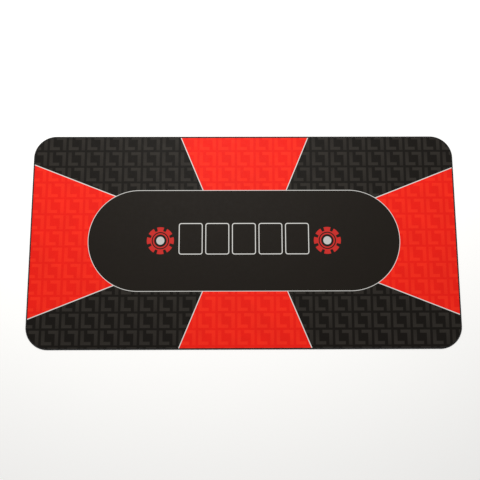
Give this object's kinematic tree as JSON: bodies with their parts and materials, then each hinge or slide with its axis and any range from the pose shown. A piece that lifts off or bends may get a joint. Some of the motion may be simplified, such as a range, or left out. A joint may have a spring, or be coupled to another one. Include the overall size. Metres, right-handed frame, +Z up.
{
  "type": "poker table top mat",
  "caption": "Soft oblong poker table mat with round corners: printed cloth face, foam rubber base and stitched edging, folding into quarters.",
  "frame": {"origin": "middle of the underside, on the surface that the mat lies on", "axes": "+X along the mat's length, +Y across it away from the front side, +Z up out of the playing surface"},
  "size_m": [1.8, 0.9, 0.0033],
  "materials": {
    "printed_cloth": "printed knitted polyester, matt with a faint sheen",
    "rubber_base": "foam rubber with an embossed non-slip underside",
    "edge_thread": "close black overlock stitching"
  },
  "bodies": {
    "left_centre": {"cloth_left_centre": "printed_cloth", "rubber_base_left_centre": "rubber_base", "edging_left_centre_front": "edge_thread", "edging_left_centre_back": "edge_thread"},
    "left_wing": {"cloth_left_wing": "printed_cloth", "rubber_base_left_wing": "rubber_base", "edging_left_wing": "edge_thread"},
    "right_centre": {"cloth_right_centre": "printed_cloth", "rubber_base_right_centre": "rubber_base", "edging_right_centre_front": "edge_thread", "edging_right_centre_back": "edge_thread"},
    "right_wing": {"cloth_right_wing": "printed_cloth", "rubber_base_right_wing": "rubber_base", "edging_right_wing": "edge_thread"}
  },
  "joints": [
    {"name": "fold_left_wing", "type": "hinge", "parent": "left_centre", "child": "left_wing", "pos_m": [-0.452, 0, 0.0045], "axis": [0, 1, 0], "range_deg": [0, 179.9]},
    {"name": "fold_centre", "type": "hinge", "parent": "left_centre", "child": "right_centre", "pos_m": [0, 0, 0.0105], "axis": [0, -1, 0], "range_deg": [0, 179.9]},
    {"name": "fold_right_wing", "type": "hinge", "parent": "right_centre", "child": "right_wing", "pos_m": [0.452, 0, 0.0045], "axis": [0, -1, 0], "range_deg": [0, 179.9]}
  ]
}
